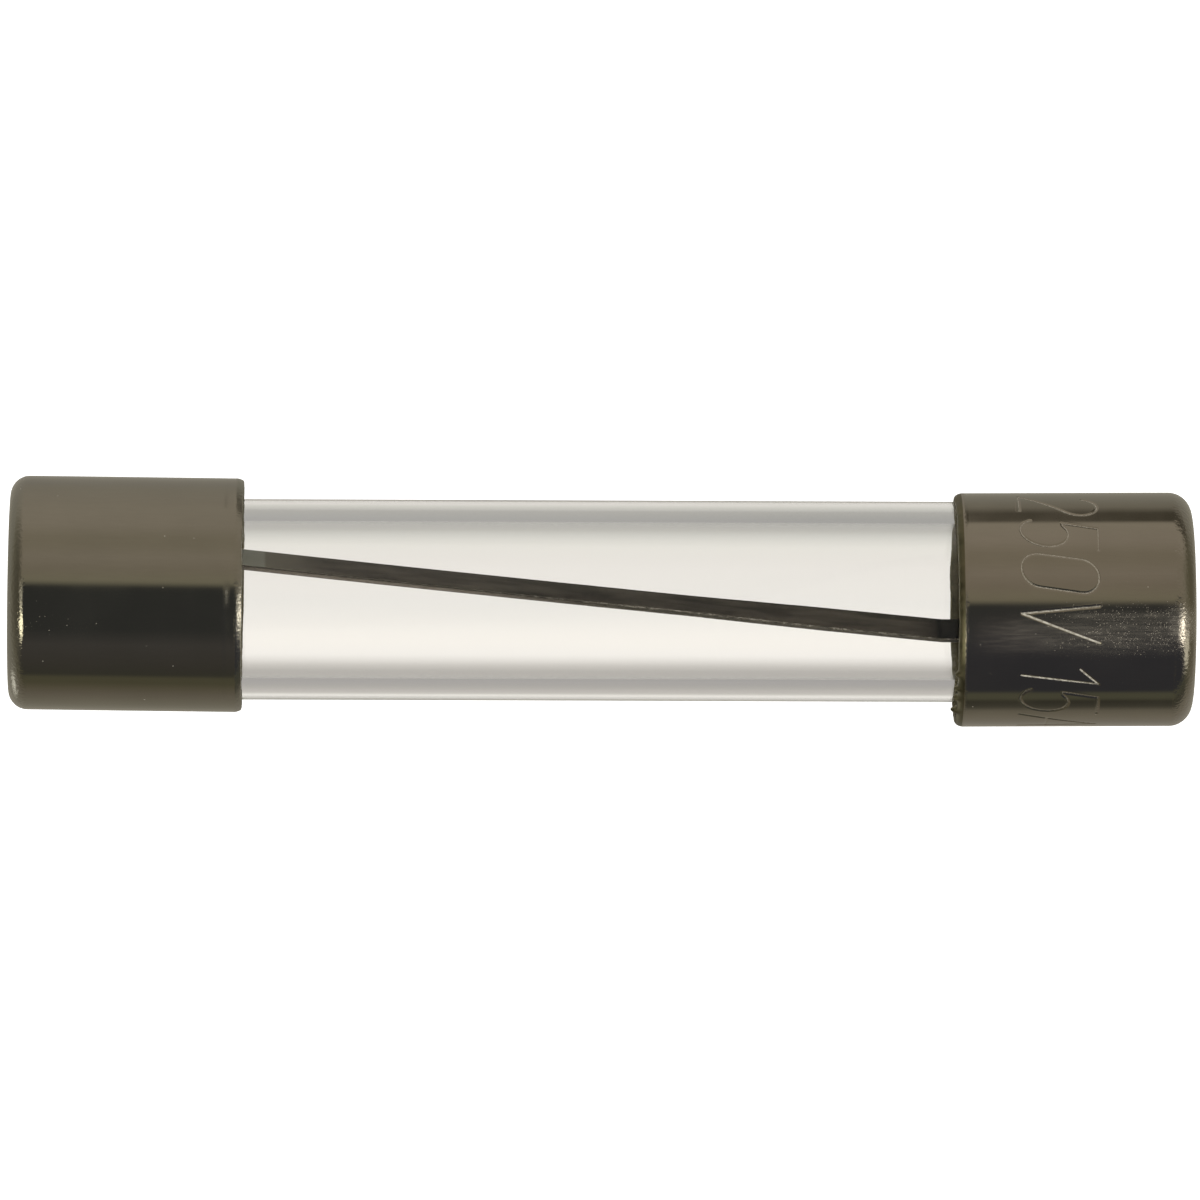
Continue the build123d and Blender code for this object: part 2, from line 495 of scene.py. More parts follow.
def strip_corner_material():
    """The strip's sheared corners: rubbed bright in places, and paler towards the right as a painted
    highlight along the lit corner.
    """
    material, nodes, links, shader = new_material("strip_corner")
    shader.inputs["Metallic"].default_value = 1.0
    rubbed = noise_value(nodes, links, place(nodes, links, stretch=(0.25, 1, 1)), 0.06 * MM, detail=3)
    patchy = noise_value(nodes, links, place(nodes, links), 1.5 * MM, detail=1)
    base = ramp(nodes, links, rubbed, [(0.35, (0.13, 0.12, 0.10)), (0.68, (0.62, 0.58, 0.51))])
    x = split(nodes, links, place(nodes, links))["X"]
    # Paler towards the right: a painted highlight on the lit corner, over the rubbed patches
    rightward_highlight = span(nodes, links, x, -3.5 * MM, 2.0 * MM, 0.08, 1.0)
    worn = product(nodes, links, span(nodes, links, patchy, 0.3, 0.55, 0.35, 1.0), rightward_highlight)
    base = mix_colours(nodes, links, worn, (0.10, 0.09, 0.075), base)
    links.new(base, shader.inputs["Base Color"])
    links.new(span(nodes, links, rubbed, 0.3, 0.7, 0.18, 0.3), shader.inputs["Roughness"])
    bump(nodes, links, shader, [(rubbed, 0.4, 0.8 * MICRON)])
    return material


def strip_cut_material():
    """The strip's sheared edges: paler than its faces, and darker towards the right."""
    material, nodes, links, shader = new_material("strip_cut")
    shader.inputs["Metallic"].default_value = 1.0
    sheared = noise_value(nodes, links, place(nodes, links, stretch=(0.1, 1, 1)), 0.05 * MM, detail=3)
    x = split(nodes, links, place(nodes, links))["X"]
    pale = ramp(nodes, links, sheared, [(0.35, (0.24, 0.21, 0.18)), (0.68, (0.36, 0.32, 0.28))])
    dark = ramp(nodes, links, sheared, [(0.35, (0.09, 0.084, 0.068)), (0.68, (0.15, 0.14, 0.115))])
    base = mix_colours(nodes, links, span(nodes, links, x, -4.5 * MM, 1.0 * MM), pale, dark)
    links.new(base, shader.inputs["Base Color"])
    links.new(span(nodes, links, sheared, 0.3, 0.7, 0.3, 0.45), shader.inputs["Roughness"])
    bump(nodes, links, shader, [(sheared, 0.5, 1.2 * MICRON)])
    return material


def solder_material():
    """Dull tin solder with a frosty skin."""
    material, nodes, links, shader = new_material("solder_skin")
    shader.inputs["Metallic"].default_value = 1.0
    plain = place(nodes, links)
    frost = noise_value(nodes, links, plain, 0.12 * MM, detail=5, roughness=0.6)
    flow = noise_value(nodes, links, plain, 0.9 * MM, detail=2)
    base = ramp(nodes, links, frost, [(0.3, (0.42, 0.41, 0.39)), (0.7, (0.60, 0.585, 0.55))])
    links.new(base, shader.inputs["Base Color"])
    links.new(span(nodes, links, frost, 0.3, 0.7, 0.28, 0.5), shader.inputs["Roughness"])
    bump(nodes, links, shader, [(flow, 0.6, 12 * MICRON), (frost, 0.5, 2 * MICRON)])
    return material


def cement_material():
    """Pale, grainy cement."""
    material, nodes, links, shader = new_material("fuse_cement")
    plain = place(nodes, links)
    sand = noise_value(nodes, links, plain, 0.05 * MM, detail=6, roughness=0.7)
    tone = noise_value(nodes, links, plain, 0.8 * MM, detail=2)
    base = ramp(nodes, links, tone, [(0.3, (0.50, 0.46, 0.38)), (0.7, (0.62, 0.585, 0.50))])
    base = mix_colours(nodes, links, span(nodes, links, sand, 0.4, 0.7, 0.0, 0.5), base, (0.36, 0.33, 0.27))
    links.new(base, shader.inputs["Base Color"])
    links.new(span(nodes, links, sand, 0.3, 0.7, 0.75, 0.95), shader.inputs["Roughness"])
    bump(nodes, links, shader, [(sand, 0.8, 12 * MICRON)])
    return material


def floor_material():
    """A pale sheet that glows a little, as paper on a light box does, so that shadows stay faint."""
    material, nodes, links, shader = new_material("floor_paper")
    plain = place(nodes, links)
    fibre = noise_value(nodes, links, plain, 3 * MM, detail=3)
    base = ramp(nodes, links, fibre, [(0.3, (0.90, 0.90, 0.895)), (0.7, (0.92, 0.92, 0.915))])
    links.new(base, shader.inputs["Base Color"])
    links.new(base, shader.inputs["Emission Color"])
    shader.inputs["Emission Strength"].default_value = 0.9
    shader.inputs["Roughness"].default_value = 0.9
    shader.inputs["Specular IOR Level"].default_value = 0.0
    return material


# ---------------------------------------------------------------- stamped rating


def bow(centre, radii, start, end, steps=14):
    """A curved stroke of a character: points of an ellipse between two angles in degrees."""
    turns = np.radians(np.linspace(start, end, steps + 1))
    return [(centre[0] + radii[0] * math.cos(t), centre[1] + radii[1] * math.sin(t)) for t in turns]


def character_strokes():
    """Single-line characters in a cell of height 1, as (width, strokes)."""
    top = bow((0.23, 0.77), (0.23, 0.23), 0, 180)
    bottom = bow((0.23, 0.23), (0.23, 0.23), 180, 360)
    bowl = bow((0.24, 0.31), (0.23, 0.31), 130, -145)
    return {
        "0": (0.46, [top + bottom + top[:1]]),
        "1": (0.22, [[(0.0, 0.76), (0.2, 1.0), (0.2, 0.0)]]),
        "2": (0.46, [bow((0.23, 0.75), (0.22, 0.25), 165, -35) + [(0.0, 0.0), (0.46, 0.0)]]),
        "5": (0.46, [[(0.43, 1.0), (0.08, 1.0), (0.05, 0.54)] + bowl]),
        "A": (0.48, [[(0.0, 0.0), (0.24, 1.0), (0.48, 0.0)], [(0.09, 0.36), (0.39, 0.36)]]),
        "V": (0.48, [[(0.0, 1.0), (0.24, 0.0), (0.48, 1.0)]]),
        " ": (0.14, []),
    }


def rating_segments(first_angle):
    """The rating's line segments as (x, arc length) pairs, reading down the cap from first_angle."""
    strokes = character_strokes()
    start = first_angle * CAP_RADIUS
    along = 0.0
    segments = []
    for character in RATING:
        width, lines = strokes[character]
        for line in lines:
            slanted = [(u + along + LETTER_SLANT * (v - 0.5), v) for u, v in line]
            placed = [(LETTER_FOOT_X + v * LETTER_HEIGHT, start - u * LETTER_HEIGHT) for u, v in slanted]
            segments += list(zip(placed[:-1], placed[1:]))
        along += width + LETTER_GAP
    return np.array(segments)


def stroke_heights(x, arc_length, segments):
    """How far the stamp moves each point, down in its groove and up at the lips, and how marked it is."""
    nearest = np.full(x.shape, 1.0)
    for (x0, a0), (x1, a1) in segments:
        dx, da = x1 - x0, a1 - a0
        t = np.clip(((x - x0) * dx + (arc_length - a0) * da) / (dx * dx + da * da), 0, 1)
        nearest = np.minimum(nearest, np.hypot(x - x0 - t * dx, arc_length - a0 - t * da))
    q = nearest / STROKE_HALF_WIDTH
    groove = -STROKE_DEPTH * np.clip(1 - q * q, 0, 1) ** 1.5
    lip = 0.1 * STROKE_DEPTH * np.exp(-((q - 1.25) / 0.28) ** 2)
    return groove + lip, np.clip(1.6 - 1.6 * q, 0, 1)


# ---------------------------------------------------------------- pieces


def cap_profile(side, fine_from=None, fine_to=None, groove=0.0):
    """A cap's outer section as (distance from the mouth, radius), from the middle of its end to its mouth.

    Between fine_from and fine_to the wall's rings are close enough to hold the stamped strokes."""
    length, radius, corner = CAP_LENGTH[side], CAP_RADIUS, CAP_CORNER[side]
    mouth, depth = CAP_MOUTH_LENGTH[side], CAP_MOUTH_DEPTH[side]
    wall_end, wall_start = (length - corner, radius), (MOUTH_STRETCH, radius)
    end_face = run((length, 0.0), (length, radius - corner), OUTSIDE_STEP)
    bend = arc(length - corner, radius - corner, corner, 0, 90, 14)
    if fine_from is None:
        wall = run(wall_end, wall_start, OUTSIDE_STEP)
    else:
        wall = (run(wall_end, (fine_to, radius), OUTSIDE_STEP)
                + run((fine_to, radius), (fine_from, radius), STAMP_STEP)
                + run((fine_from, radius), wall_start, OUTSIDE_STEP))
    near_mouth = [wall_start] + run(wall_start, (mouth, radius), MOUTH_STEP)
    edge = [(mouth + mouth * c, radius - depth + depth * h) for c, h in arc(0, 0, 1, 90, 180, 12)]
    lip = [(s, r - mouth_drop(s, side, groove)) for s, r in near_mouth + edge]
    return join_profile(end_face[:-1], bend, wall, lip)


def mouth_drop(s, side, groove):
    """How far the wall near the mouth lies below a cylinder: a rolled groove, then the bevel."""
    ring = max(0.0, 1 - ((s - GROOVE_FROM_MOUTH) / GROOVE_HALF_WIDTH) ** 2) ** 2
    bevel = max(0.0, 1 - s / CAP_BEVEL_LENGTH) ** 1.3
    return groove * ring + CAP_BEVEL_DEPTH[side] * bevel


def cap_inside_profile(side):
    """The rest of a cap's section, from the inner edge of its mouth to the middle of its floor."""
    inner = CAP_RADIUS - CAP_WALL
    bottom = CAP_LENGTH[side] - CAP_END_WALL
    lip = CAP_LIP_ROUNDING
    corner = CAP_INNER_CORNER
    return join_profile(
        arc(lip, inner + lip, lip, 180, 270, 4),
        run((lip, inner), (bottom - corner, inner), INSIDE_STEP),
        arc(bottom - corner, inner - corner, corner, 90, 0, 5),
        run((bottom, inner - corner), (bottom, 0.0), INSIDE_STEP)[:-1],
    )


def cap_angles(fine_from, fine_to, fine_step, step):
    """Angles around a cap in degrees, from the camera's side towards +Y, closer together in one stretch."""
    fine = np.arange(fine_from, fine_to, fine_step)
    rest = np.arange(fine_to, fine_from + 360, step)
    return np.concatenate([fine, rest])


def cap_piece(side, outside, angles, material, shape):
    """A cap turned about its mount's axis. shape(s, r, turn) gives its wear as (more s, more r, marks)."""
    profile = outside + cap_inside_profile(side)
    end_face = MOUNTS["end_face_" + side]
    axis = Vector(end_face["axis"]).normalized()
    length = CAP_LENGTH[side]
    mouth = Vector(end_face["pos_m"]) - axis * length
    up = Vector((0, 0, 1))
    across = (Vector((0, 1, 0)) - axis * axis.y).normalized()
    s = np.array([p[0] for p in profile])[:, None]
    r = np.array([p[1] for p in profile])[:, None]
    turn = np.radians(angles)[None, :]
    more_s, more_r, marks = shape(s + 0 * turn, r + 0 * turn, turn + 0 * s)
    s, r = s + more_s, r + more_r
    points = (np.array(mouth) + s[..., None] * np.array(axis)
              + (r * np.cos(turn))[..., None] * np.array(up)
              + (r * np.sin(turn))[..., None] * np.array(across))
    vertices = list(points.reshape(-1, 3))
    outer_pole, inner_pole = len(vertices), len(vertices) + 1
    vertices += [np.array(mouth + axis * length), np.array(mouth + axis * (length - CAP_END_WALL))]
    faces = ring_grid(len(profile), len(angles), False, outer_pole, inner_pole)
    marks = np.concatenate([marks.ravel(), (0.0, 0.0)])
    # The last rings of each mouth get the bore's dark finish: painted shade
    first_shaded = (len(outside) - SHADED_EDGE_RINGS[side]) * len(angles)
    slots = [int(min(corners) >= first_shaded) for corners in faces]
    materials = [material, bore_and_lip_shade_material()]
    piece = mesh_piece(f"end_cap_{side}_shell", vertices, faces, materials, slots, marks)
    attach(piece, "root")
    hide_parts(f"end_cap_{side}")
    return piece


def mouth_wear(s, r, turn, seed):
    """Small dents and a slow waver around a cap's mouth, fading out away from it."""
    near = np.clip(1 - s / WEAR_REACH, 0, 1) ** 2
    fade = near * (r > CAP_RADIUS - CAP_WALL - 1 * MICRON)
    rough = np.zeros_like(s)
    slow = np.zeros_like(s)
    for i, j in zip(*np.nonzero(fade)):
        around = turn[i, j] * CAP_RADIUS
        rough[i, j] = wave(around, s[i, j], seed * MM, DENT_SIZE)
        slow[i, j] = wave(around, 0, (seed + 5) * MM, WAVER_SIZE)
    return fade * (rough * DENT_LENGTH + slow * WAVER_LENGTH), -fade * np.abs(rough) * DENT_DEPTH


def end_dishing(s, r, side):
    """The closed end is very slightly dished, as a drawn end is."""
    flat = CAP_RADIUS - CAP_CORNER[side]
    inside = (s > CAP_LENGTH[side] - 1 * MICRON) & (r < flat)
    return np.where(inside, -DISH_DEPTH * (1 - np.minimum(r / flat, 1) ** 2) ** 2, 0.0)


def left_cap():
    """The left cap, with a faint burnished groove near its mouth."""
    def shape(s, r, turn):
        more_s, more_r = mouth_wear(s, r, turn, 3)
        line = np.clip(1 - ((s - GROOVE_FROM_MOUTH) / GROOVE_HALF_WIDTH) ** 2, 0, 1)
        around = np.degrees((turn + math.pi) % (2 * math.pi) - math.pi)
        # Pale where marked above about half: a painted highlight on the groove near the top
        groove_dull_and_highlight = np.interp(around, GROOVE_DULL_AND_HIGHLIGHT[0], GROOVE_DULL_AND_HIGHLIGHT[1])
        return more_s + end_dishing(s, r, "left"), more_r, groove_dull_and_highlight * line * (r > CAP_RADIUS - CAP_WALL / 2)

    specked = ((-14.9 * MM, -0.35 * MM), (0.4 * MM, 0.4 * MM), (0.5 * MM, 0.4 * MM))
    material = cap_material("nickel_left", (0.415, 0.386, 0.318), 15.38 * MM, (), specked, 0.06)
    profile = cap_profile("left", groove=1.0 * MICRON)
    return cap_piece("left", profile, np.arange(0, 360, 0.75), material, shape)


def right_cap():
    """The right cap, with the stamped rating and burrs along the lower side of its mouth."""
    segments = rating_segments(FIRST_LETTER_ANGLE)
    mouth_x = MOUNTS["end_face_right"]["pos_m"][0] - CAP_LENGTH["right"]
    margin = 3 * STROKE_HALF_WIDTH
    low, high = segments[..., 0].min() - margin, segments[..., 0].max() + margin
    angles = np.degrees(segments[..., 1] / CAP_RADIUS)
    angle_margin = math.degrees(margin / CAP_RADIUS)

    def shape(s, r, turn):
        more_s, more_r = mouth_wear(s, r, turn, 11)
        around = (turn + math.pi) % (2 * math.pi) - math.pi
        x = s + mouth_x
        near = (r > CAP_RADIUS - 1 * MICRON) & (x > low) & (x < high)
        stamp, marks = np.zeros_like(s), np.zeros_like(s)
        stamp[near], marks[near] = stroke_heights(x[near], around[near] * CAP_RADIUS, segments)
        for where, width, reach in BURRS:
            hump = np.exp(-((np.degrees(around) - where) / width) ** 2)
            more_s = more_s - reach * MM * hump * np.clip(1 - s / BURR_ROOT, 0, 1)
        # Fuller on the dark -Y side, where the pale residue is partly a painted highlight
        stroke_fill_and_highlight = np.interp(np.degrees(around), *STROKE_FILL_AND_HIGHLIGHT)
        return more_s + end_dishing(s, r, "right"), more_r + stamp, marks * stroke_fill_and_highlight

    smear = ((12.9 * MM, -0.87 * MM), (2.6 * MM, 0.40 * MM), (0.9 * MM, 0.3 * MM))
    streak = ((14.0 * MM, -0.38 * MM), (1.8 * MM, 0.1 * MM), (0.9 * MM, 0.12 * MM))
    by_the_bend = ((15.5 * MM, -0.6 * MM), (0.3 * MM, 0.4 * MM), (0.35 * MM, 0.3 * MM))
    hazy = ((smear, 0.18), (streak, 0.2), (by_the_bend, 0.45))
    specked = ((14.4 * MM, -0.7 * MM), (1.5 * MM, 0.5 * MM), (1.5 * MM, 0.35 * MM))
    material = cap_material("nickel_right", (0.43, 0.387, 0.318), 15.33 * MM, hazy, specked, 1.0)
    profile = cap_profile("right", low - mouth_x, high - mouth_x)
    around = cap_angles(angles.min() - angle_margin, angles.max() + angle_margin, 0.42, 1.6)
    return cap_piece("right", profile, around, material, shape)


def tube_bore_radius():
    """The bore's radius, read from the CAD tube's own corners."""
    return min(math.hypot(v.co.y, v.co.z) for v in frame["nodes"]["glass_tube"].data.vertices)


def glass_tube():
    """The glass body, finer than the CAD's, with flame-rounded ends and the slight waves of drawn tube."""
    outer, inner, end, polish = TUBE_RADIUS, tube_bore_radius(), TUBE_END, TUBE_POLISH
    profile = join_profile(
        run((-end + polish, outer), (end - polish, outer), TUBE_STEP),
        arc(end - polish, outer - polish, polish, 90, 0, 6),
        arc(end - polish, inner + polish, polish, 0, -90, 6),
        run((end - polish, inner), (-end + polish, inner), TUBE_STEP),
        arc(-end + polish, inner + polish, polish, 270, 180, 6),
        arc(-end + polish, outer - polish, polish, 180, 90, 6)[:-1],
    )
    turns = np.linspace(0, 2 * math.pi, TUBE_SIDES, endpoint=False)
    vertices = []
    for x, r in profile:
        for t in turns:
            y, z = math.sin(t), math.cos(t)
            swell = wave(x * 0.12, y * 1.5 * MM, z * 1.5 * MM + r, GLASS_WAVE_SIZE)
            radius = r + GLASS_WAVE * swell
            vertices.append((x, radius * y, radius * z))
    faces = ring_grid(len(profile), TUBE_SIDES, True)
    piece = mesh_piece("glass_tube_body", vertices, faces, [glass_material()])
    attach(piece, "root")
    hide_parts("glass_tube")
    return piece


def bend_path(points, radii, steps=8):
    """A path in a plane with its corners rounded, as points with the direction across the path at each."""
    path = []
    points = [np.array(p) for p in points]
    for i, point in enumerate(points):
        if i in (0, len(points) - 1):
            path.append(point)
            continue
        back = (points[i - 1] - point) / np.linalg.norm(points[i - 1] - point)
        ahead = (points[i + 1] - point) / np.linalg.norm(points[i + 1] - point)
        half = math.acos(np.clip(back @ ahead, -1, 1)) / 2
        reach = radii[i - 1] / math.tan(half)
        centre = point + (back + ahead) / np.linalg.norm(back + ahead) * radii[i - 1] / math.sin(half)
        start, end = point + back * reach - centre, point + ahead * reach - centre
        total = math.atan2(start[0] * end[1] - start[1] * end[0], start @ end)
        for k in range(steps + 1):
            c, s = math.cos(total * k / steps), math.sin(total * k / steps)
            path.append(centre + np.array((start[0] * c - start[1] * s, start[0] * s + start[1] * c)))
    dense = [path[0]]
    for a, b in zip(path[:-1], path[1:]):
        dense += [np.array(p) for p in run(a, b, STRIP_STEP)]
    dense = np.array(dense)
    tangents = np.gradient(dense, axis=0)
    tangents /= np.linalg.norm(tangents, axis=1)[:, None]
    return dense, np.stack([-tangents[:, 1], tangents[:, 0]], axis=1)


def strip_points():
    """The strip's corner points in its own plane, as the CAD has them."""
    half = STRIP_THICKNESS / 2
    end = TUBE_END + STRIP_CLEARANCE + half
    outer = TUBE_RADIUS + STRIP_CLEARANCE + half
    rise = STRIP_RISE
    kink = -rise * STRIP_KINK_AT / end
    left = [(-end + STRIP_TAIL, outer), (-end, outer), (-end, rise)]
    middle = [(STRIP_KINK_AT, kink), (STRIP_KINK_AT + STRIP_KINK_RUN, kink)]
    right = [(end, -rise), (end, -outer), (end - STRIP_TAIL, -outer)]
    half_bends = [STRIP_TAIL_BEND, TUBE_POLISH + STRIP_CLEARANCE + half, STRIP_KINK_BEND]
    return left + middle + right, half_bends + half_bends[::-1]


def strip_section():
    """The strip's section as (width, thickness) points, and the material slot of the stretch after each."""
    half_width, half, corner = STRIP_WIDTH / 2, STRIP_THICKNESS / 2, STRIP_CORNER
    points, slots = [], []
    for side_w, side_t, start in ((1, -1, -90), (1, 1, 0), (-1, 1, 90), (-1, -1, 180)):
        w, t = side_w * (half_width - corner), side_t * (half - corner)
        rounding = arc(w, t, corner, start, start + 90, 4)
        before_face = side_w == side_t
        face = run(rounding[-1], (-w, side_t * half), STRIP_ROW)[:-1] if before_face else []
        points += rounding + face
        slots += [CORNER_SLOT if side_w > 0 else FACE_SLOT] * (len(rounding) - 1)
        slots += [FACE_SLOT if before_face else CUT_SLOT] + [FACE_SLOT] * len(face)
    return points, slots


def fuse_strip():
    """The strip: flat rolled faces with small sheared corners, swept along its bent path."""
    path, across = bend_path(*strip_points())
    section, section_slots = strip_section()
    count = len(section)
    c, s = math.cos(STRIP_ROLL), math.sin(STRIP_ROLL)
    vertices = []
    for (x, v), normal in zip(path, across):
        twist = STRIP_TWIST * float(np.interp(x, STRIP_TWIST_AT, (0, 1, 1, 0)))
        for w, t in section:
            grain = wave(x, w * 2, t, STRIP_GRAIN_SIZE) * STRIP_GRAIN
            out = math.copysign(abs(t) + grain, t) * math.cos(twist) - w * math.sin(twist)
            wide = w * math.cos(twist) + t * math.sin(twist) + STRIP_SHIFT
            px, pv = x + normal[0] * out, v + normal[1] * out
            vertices.append((px, pv * c - wide * s, pv * s + wide * c))
    rows = len(path)
    last = (rows - 1) * count
    faces = ring_grid(rows, count, False) + [tuple(range(count)), tuple(range(last, last + count))]
    slots = section_slots * (rows - 1) + [FACE_SLOT, FACE_SLOT]
    materials = [strip_face_material(), strip_corner_material(), strip_cut_material()]
    piece = mesh_piece("fuse_strip", vertices, faces, materials, slots)
    piece.visible_glossy = False
    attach(piece, "root")
    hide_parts("fuse_element")
    return piece


def finish_cad_nodes():
    """The solder and the cement keep their CAD shapes and get their own surfaces."""
    for kind, material in (("solder_fill", solder_material()), ("cement_ring", cement_material())):
        for side in ("left", "right"):
            mesh = frame["nodes"][f"{kind}_{side}"].data
            mesh.materials.clear()
            mesh.materials.append(material)


# ---------------------------------------------------------------- stage


def floor():
    """A wide pale sheet under the fuse. Glass and metal see the studio round it, as over a light box."""
    half = 3.0
    z = FLOOR_Z - 2 * MICRON
    mesh = bpy.data.meshes.new("floor")
    corners = [(-half, -half, z), (half, -half, z), (half, half, z), (-half, half, z)]
    mesh.from_pydata(corners, [], [(0, 1, 2, 3)])
    mesh.materials.append(floor_material())
    sheet = bpy.data.objects.new("floor", mesh)
    bpy.context.scene.collection.objects.link(sheet)
    sheet.visible_glossy = False
    sheet.visible_transmission = False


def softbox(name, direction, distance, size, power, colour):
    """A square light on the fuse from a direction, out of the camera's sight."""
    lamp = bpy.data.lights.new(name, "AREA")
    lamp.shape = "SQUARE"
    lamp.size = size
    lamp.energy = power
    lamp.color = colour
    light = bpy.data.objects.new(name, lamp)
    way = Vector(direction).normalized()
    light.location = way * distance
    light.rotation_mode = "QUATERNION"
    light.rotation_quaternion = way.to_track_quat("Z", "Y")
    light.visible_camera = False
    light.visible_glossy = False
    light.visible_transmission = False
    bpy.context.scene.collection.objects.link(light)


def turn_stops(stops):
    """Colour ramp stops from (degrees, colour) pairs."""
    return [((degrees + 180) / 360, colour) for degrees, colour in stops]


def height_stops(stops):
    """Colour ramp stops from (height from -1 to 1, colour) pairs."""
    return [((height + 1) / 2, colour) for height, colour in stops]


# The part of the lit side that both halves of the studio share
LIT_SIDE = [
    (12.0, (0.315, 0.30, 0.235)),
    (24, (0.315, 0.285, 0.24)),
    (36, (0.36, 0.328, 0.284)),
    (49, (0.332, 0.304, 0.252)),
    (57, (0.332, 0.304, 0.252)),
    (72, (0.395, 0.362, 0.318)),
]

# What the caps mirror, on the left of the studio and on its right, at angles around the fuse in degrees:
# 0 is up, 90 is +Y and -90 is -Y
MIRRORED_LEFT = [
    (-180, (0.34, 0.32, 0.26)),
    (-150, (0.30, 0.285, 0.24)),
    (-132, (0.265, 0.25, 0.21)),
    (-118, (0.225, 0.205, 0.175)),
    (-107, (0.18, 0.165, 0.125)),
    (-99, (0.13, 0.125, 0.085)),
    (-91.5, (0.135, 0.13, 0.09)),
    (-87.5, (0.07, 0.07, 0.06)),
    (-76, (0.078, 0.075, 0.070)),
    (-52, (0.090, 0.087, 0.088)),
    (-36, (0.053, 0.056, 0.058)),
    (6.5, (0.053, 0.056, 0.058)),
    *LIT_SIDE,
    (96, (0.41, 0.38, 0.335)),
    (112, (0.395, 0.37, 0.33)),
    (124, (0.365, 0.345, 0.305)),
    (140, (0.335, 0.32, 0.29)),
    (180, (0.34, 0.32, 0.26)),
]
MIRRORED_RIGHT = [
    (-180, (0.34, 0.32, 0.26)),
    (-150, (0.30, 0.285, 0.25)),
    (-130, (0.27, 0.255, 0.215)),
    (-119, (0.225, 0.215, 0.18)),
    (-112, (0.09, 0.09, 0.075)),
    (-103, (0.06, 0.06, 0.05)),
    (-98, (0.13, 0.135, 0.10)),
    (-91.5, (0.13, 0.135, 0.10)),
    (-88, (0.052, 0.055, 0.068)),
    (-36, (0.052, 0.055, 0.070)),
    (4.0, (0.060, 0.064, 0.066)),
    (9.3, (0.315, 0.30, 0.235)),
    *LIT_SIDE[1:],
    (95, (0.41, 0.385, 0.335)),
    (98.5, (0.095, 0.088, 0.07)),
    (111, (0.095, 0.088, 0.07)),
    (122, (0.27, 0.26, 0.225)),
    (140, (0.31, 0.305, 0.27)),
    (180, (0.34, 0.32, 0.26)),
]
# What the glass shows: a bright sheet straight below, brightest a little towards -Y
THROUGH_GLASS = [
    (-180, (0.945, 0.92, 0.865)),
    (-175, (1.095, 1.05, 0.975)),
    (-170, (0.965, 0.93, 0.87)),
    (-165, (0.65, 0.62, 0.57)),
    (-160, (0.53, 0.505, 0.465)),
    (-154, (0.485, 0.455, 0.425)),
    (-148, (0.42, 0.403, 0.37)),
    (-130, (0.405, 0.39, 0.375)),
    (-105, (0.38, 0.365, 0.345)),
    (-95, (0.85, 0.80, 0.76)),
    (-78, (0.75, 0.72, 0.66)),
    (-62, (0.28, 0.265, 0.22)),
    (62, (0.28, 0.265, 0.22)),
    (78, (0.75, 0.73, 0.68)),
    (95, (0.90, 0.88, 0.85)),
    (105, (0.36, 0.35, 0.34)),
    (130, (0.395, 0.387, 0.367)),
    (150, (0.40, 0.39, 0.36)),
    (155, (0.50, 0.49, 0.455)),
    (160, (0.555, 0.545, 0.495)),
    (165, (0.665, 0.655, 0.60)),
    (170, (0.81, 0.79, 0.725)),
    (175, (0.92, 0.885, 0.83)),
    (180, (0.955, 0.925, 0.87)),
]

# What the caps' rounded ends mirror, by how far up the room it is, from -1 to 1
LEFT_END = [(-0.36, (0.32, 0.315, 0.28)), (0.0, (0.21, 0.20, 0.16)), (0.31, (0.155, 0.148, 0.12)),
            (0.55, (0.125, 0.118, 0.09))]
RIGHT_END = [(-0.34, (0.18, 0.175, 0.13)), (-0.05, (0.165, 0.158, 0.11)), (0.2, (0.20, 0.19, 0.14)),
             (0.45, (0.26, 0.25, 0.20)), (0.7, (0.34, 0.32, 0.27))]

# Soft lights out of the camera's sight: direction, reach in degrees, colour
GLOWS = [
    ((0.72, -0.27, 0.64), 14, (4.0, 3.9, 3.6)),
    ((0.48, -0.30, 0.82), 15, (0.65, 0.63, 0.6)),
    ((0.87, -0.46, 0.20), 17, (0.8, 0.8, 0.72)),
    ((-0.46, -0.50, 0.74), 17, (3.0, 2.9, 2.3)),
    ((-0.48, -0.08, 0.87), 15, (0.65, 0.63, 0.55)),
    ((-0.57, -0.55, -0.61), 12, (0.8, 0.82, 0.8)),
]


def glow(nodes, links, way, direction, reach, colour):
    """One soft round light around a direction, fading to nothing at reach degrees from it."""
    dot = nodes.new("ShaderNodeVectorMath")
    dot.operation = "DOT_PRODUCT"
    dot.inputs[1].default_value = Vector(direction).normalized()
    links.new(way, dot.inputs[0])
    fade_from, fade_to = math.cos(math.radians(reach)), math.cos(math.radians(0.35 * reach))
    share = span(nodes, links, dot.outputs["Value"], fade_from, fade_to)
    return mix_colours(nodes, links, share, (0.0, 0.0, 0.0), colour)


